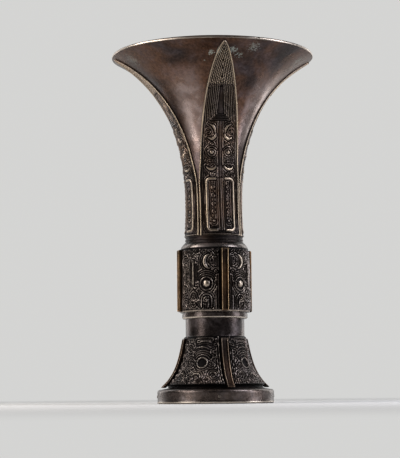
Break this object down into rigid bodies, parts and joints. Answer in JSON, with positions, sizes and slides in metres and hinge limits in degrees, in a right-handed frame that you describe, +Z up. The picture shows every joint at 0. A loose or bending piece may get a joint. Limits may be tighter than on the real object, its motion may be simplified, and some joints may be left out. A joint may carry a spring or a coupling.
{
  "type": "bronze gu vessel",
  "caption": "Tall bronze gu wine beaker with a trumpet mouth, leaf blades, a drum with masks and flanges, and a spreading foot on a plain ring.",
  "frame": {"origin": "centre of the foot ring's underside, on the vessel's axis", "axes": "+Z up along the vessel's axis, -Y towards the middle of the front mask and the front flanges, +X to the right flanges"},
  "size_m": [0.164, 0.164, 0.282],
  "materials": {
    "patinated_bronze": "satin dark brown patina",
    "drum_bronze": "satin black brown patina",
    "ring_bronze": "smooth brown patina",
    "worn_bronze": "rubbed brown patina",
    "solder": "dull grey solder"
  },
  "bodies": {
    "root": {"neck": "patinated_bronze", "drum": "drum_bronze", "foot": "patinated_bronze", "foot_ring": "ring_bronze", "lower_collar": "ring_bronze", "cup_floor": "drum_bronze", "drum_flange_front": "worn_bronze", "drum_flange_right": "worn_bronze", "drum_flange_back": "worn_bronze", "drum_flange_left": "worn_bronze", "foot_flange_front": "worn_bronze", "foot_flange_right": "worn_bronze", "foot_flange_back": "worn_bronze", "foot_flange_left": "worn_bronze", "foot_ring_pins": "drum_bronze", "upper_solder_fillet": "solder", "lower_solder_fillet": "solder"}
  },
  "joints": []
}
